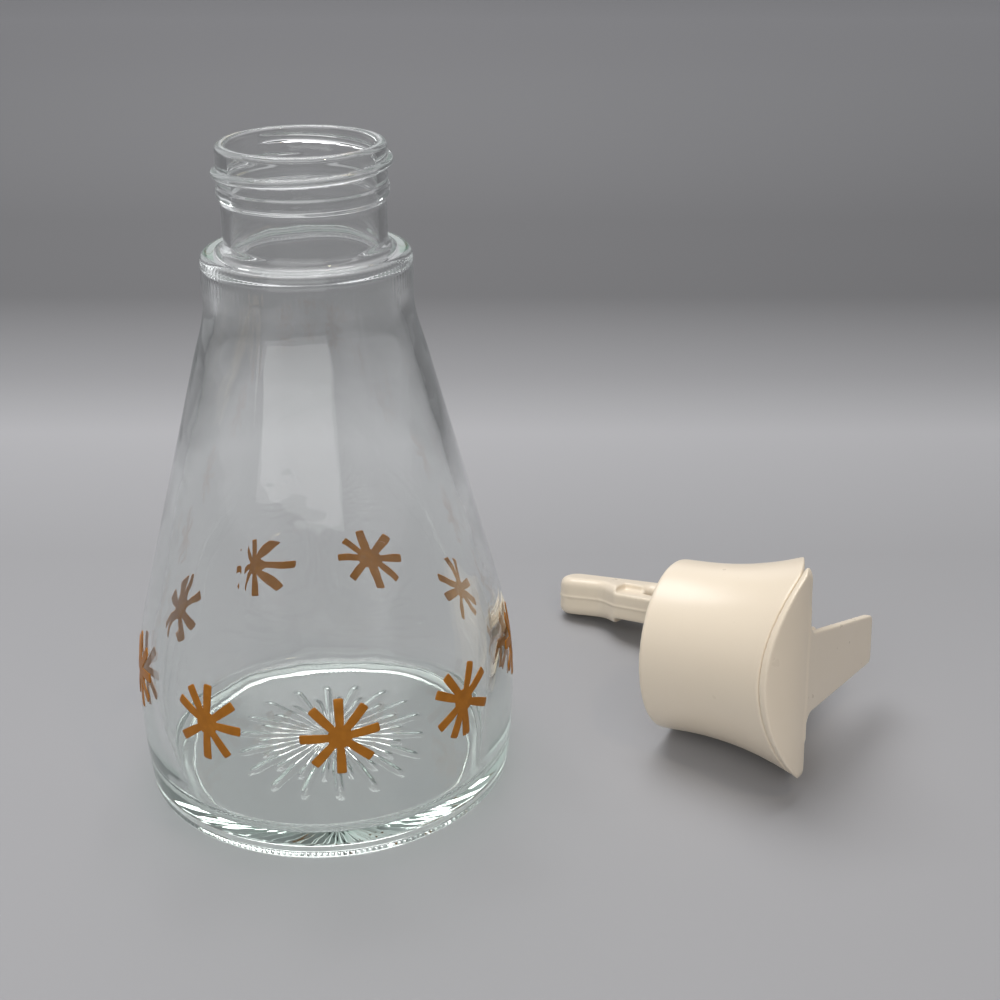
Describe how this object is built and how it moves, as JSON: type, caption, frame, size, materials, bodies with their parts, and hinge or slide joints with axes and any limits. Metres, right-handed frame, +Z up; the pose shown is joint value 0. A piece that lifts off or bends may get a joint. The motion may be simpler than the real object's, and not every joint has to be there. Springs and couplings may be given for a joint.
{
  "type": "syrup dispenser",
  "caption": "Clear glass jar with fired-on starbursts, its screw-on pouring top lying beside it: collar, D handle and a spring cover with a thumb tab.",
  "frame": {"origin": "centre of the jar's foot, on the table", "axes": "+Z up along the jar's axis; the pouring top lies on its side to the +X side of the jar, its lip turned towards -Y"},
  "size_m": [0.1801, 0.1213, 0.1495],
  "materials": {
    "glass": "clear pressed glass, faintly green where it is thick",
    "gold_enamel": "fired-on gold-brown enamel",
    "cream_plastic": "glossy cream moulded plastic",
    "steel": "bright drawn wire",
    "seal": "pale rubber"
  },
  "bodies": {
    "jar": {"bottle": "glass", "starburst_1": "gold_enamel", "starburst_2": "gold_enamel", "starburst_3": "gold_enamel", "starburst_4": "gold_enamel", "starburst_5": "gold_enamel", "starburst_6": "gold_enamel", "starburst_7": "gold_enamel", "starburst_8": "gold_enamel", "starburst_9": "gold_enamel"},
    "top": {"collar": "cream_plastic", "handle": "cream_plastic", "hinge_pin": "steel", "return_spring": "steel", "sealing_ring": "seal"},
    "cover": {"cover": "cream_plastic"}
  },
  "joints": [
    {"name": "top_lift", "type": "slide", "parent": "jar", "child": "top", "axis": [0, 0, 1], "range_m": [0, 0.18]},
    {"name": "cover_hinge", "type": "hinge", "parent": "top", "child": "cover", "pos_m": [0.11383, 0.00197, 0.0249], "axis": [0.0207, 0.2738, 0.9616], "range_deg": [0, 24], "stiffness_Nm_per_rad": 0.02, "springref_deg": -17.19, "deforming": ["return_spring"]}
  ]
}
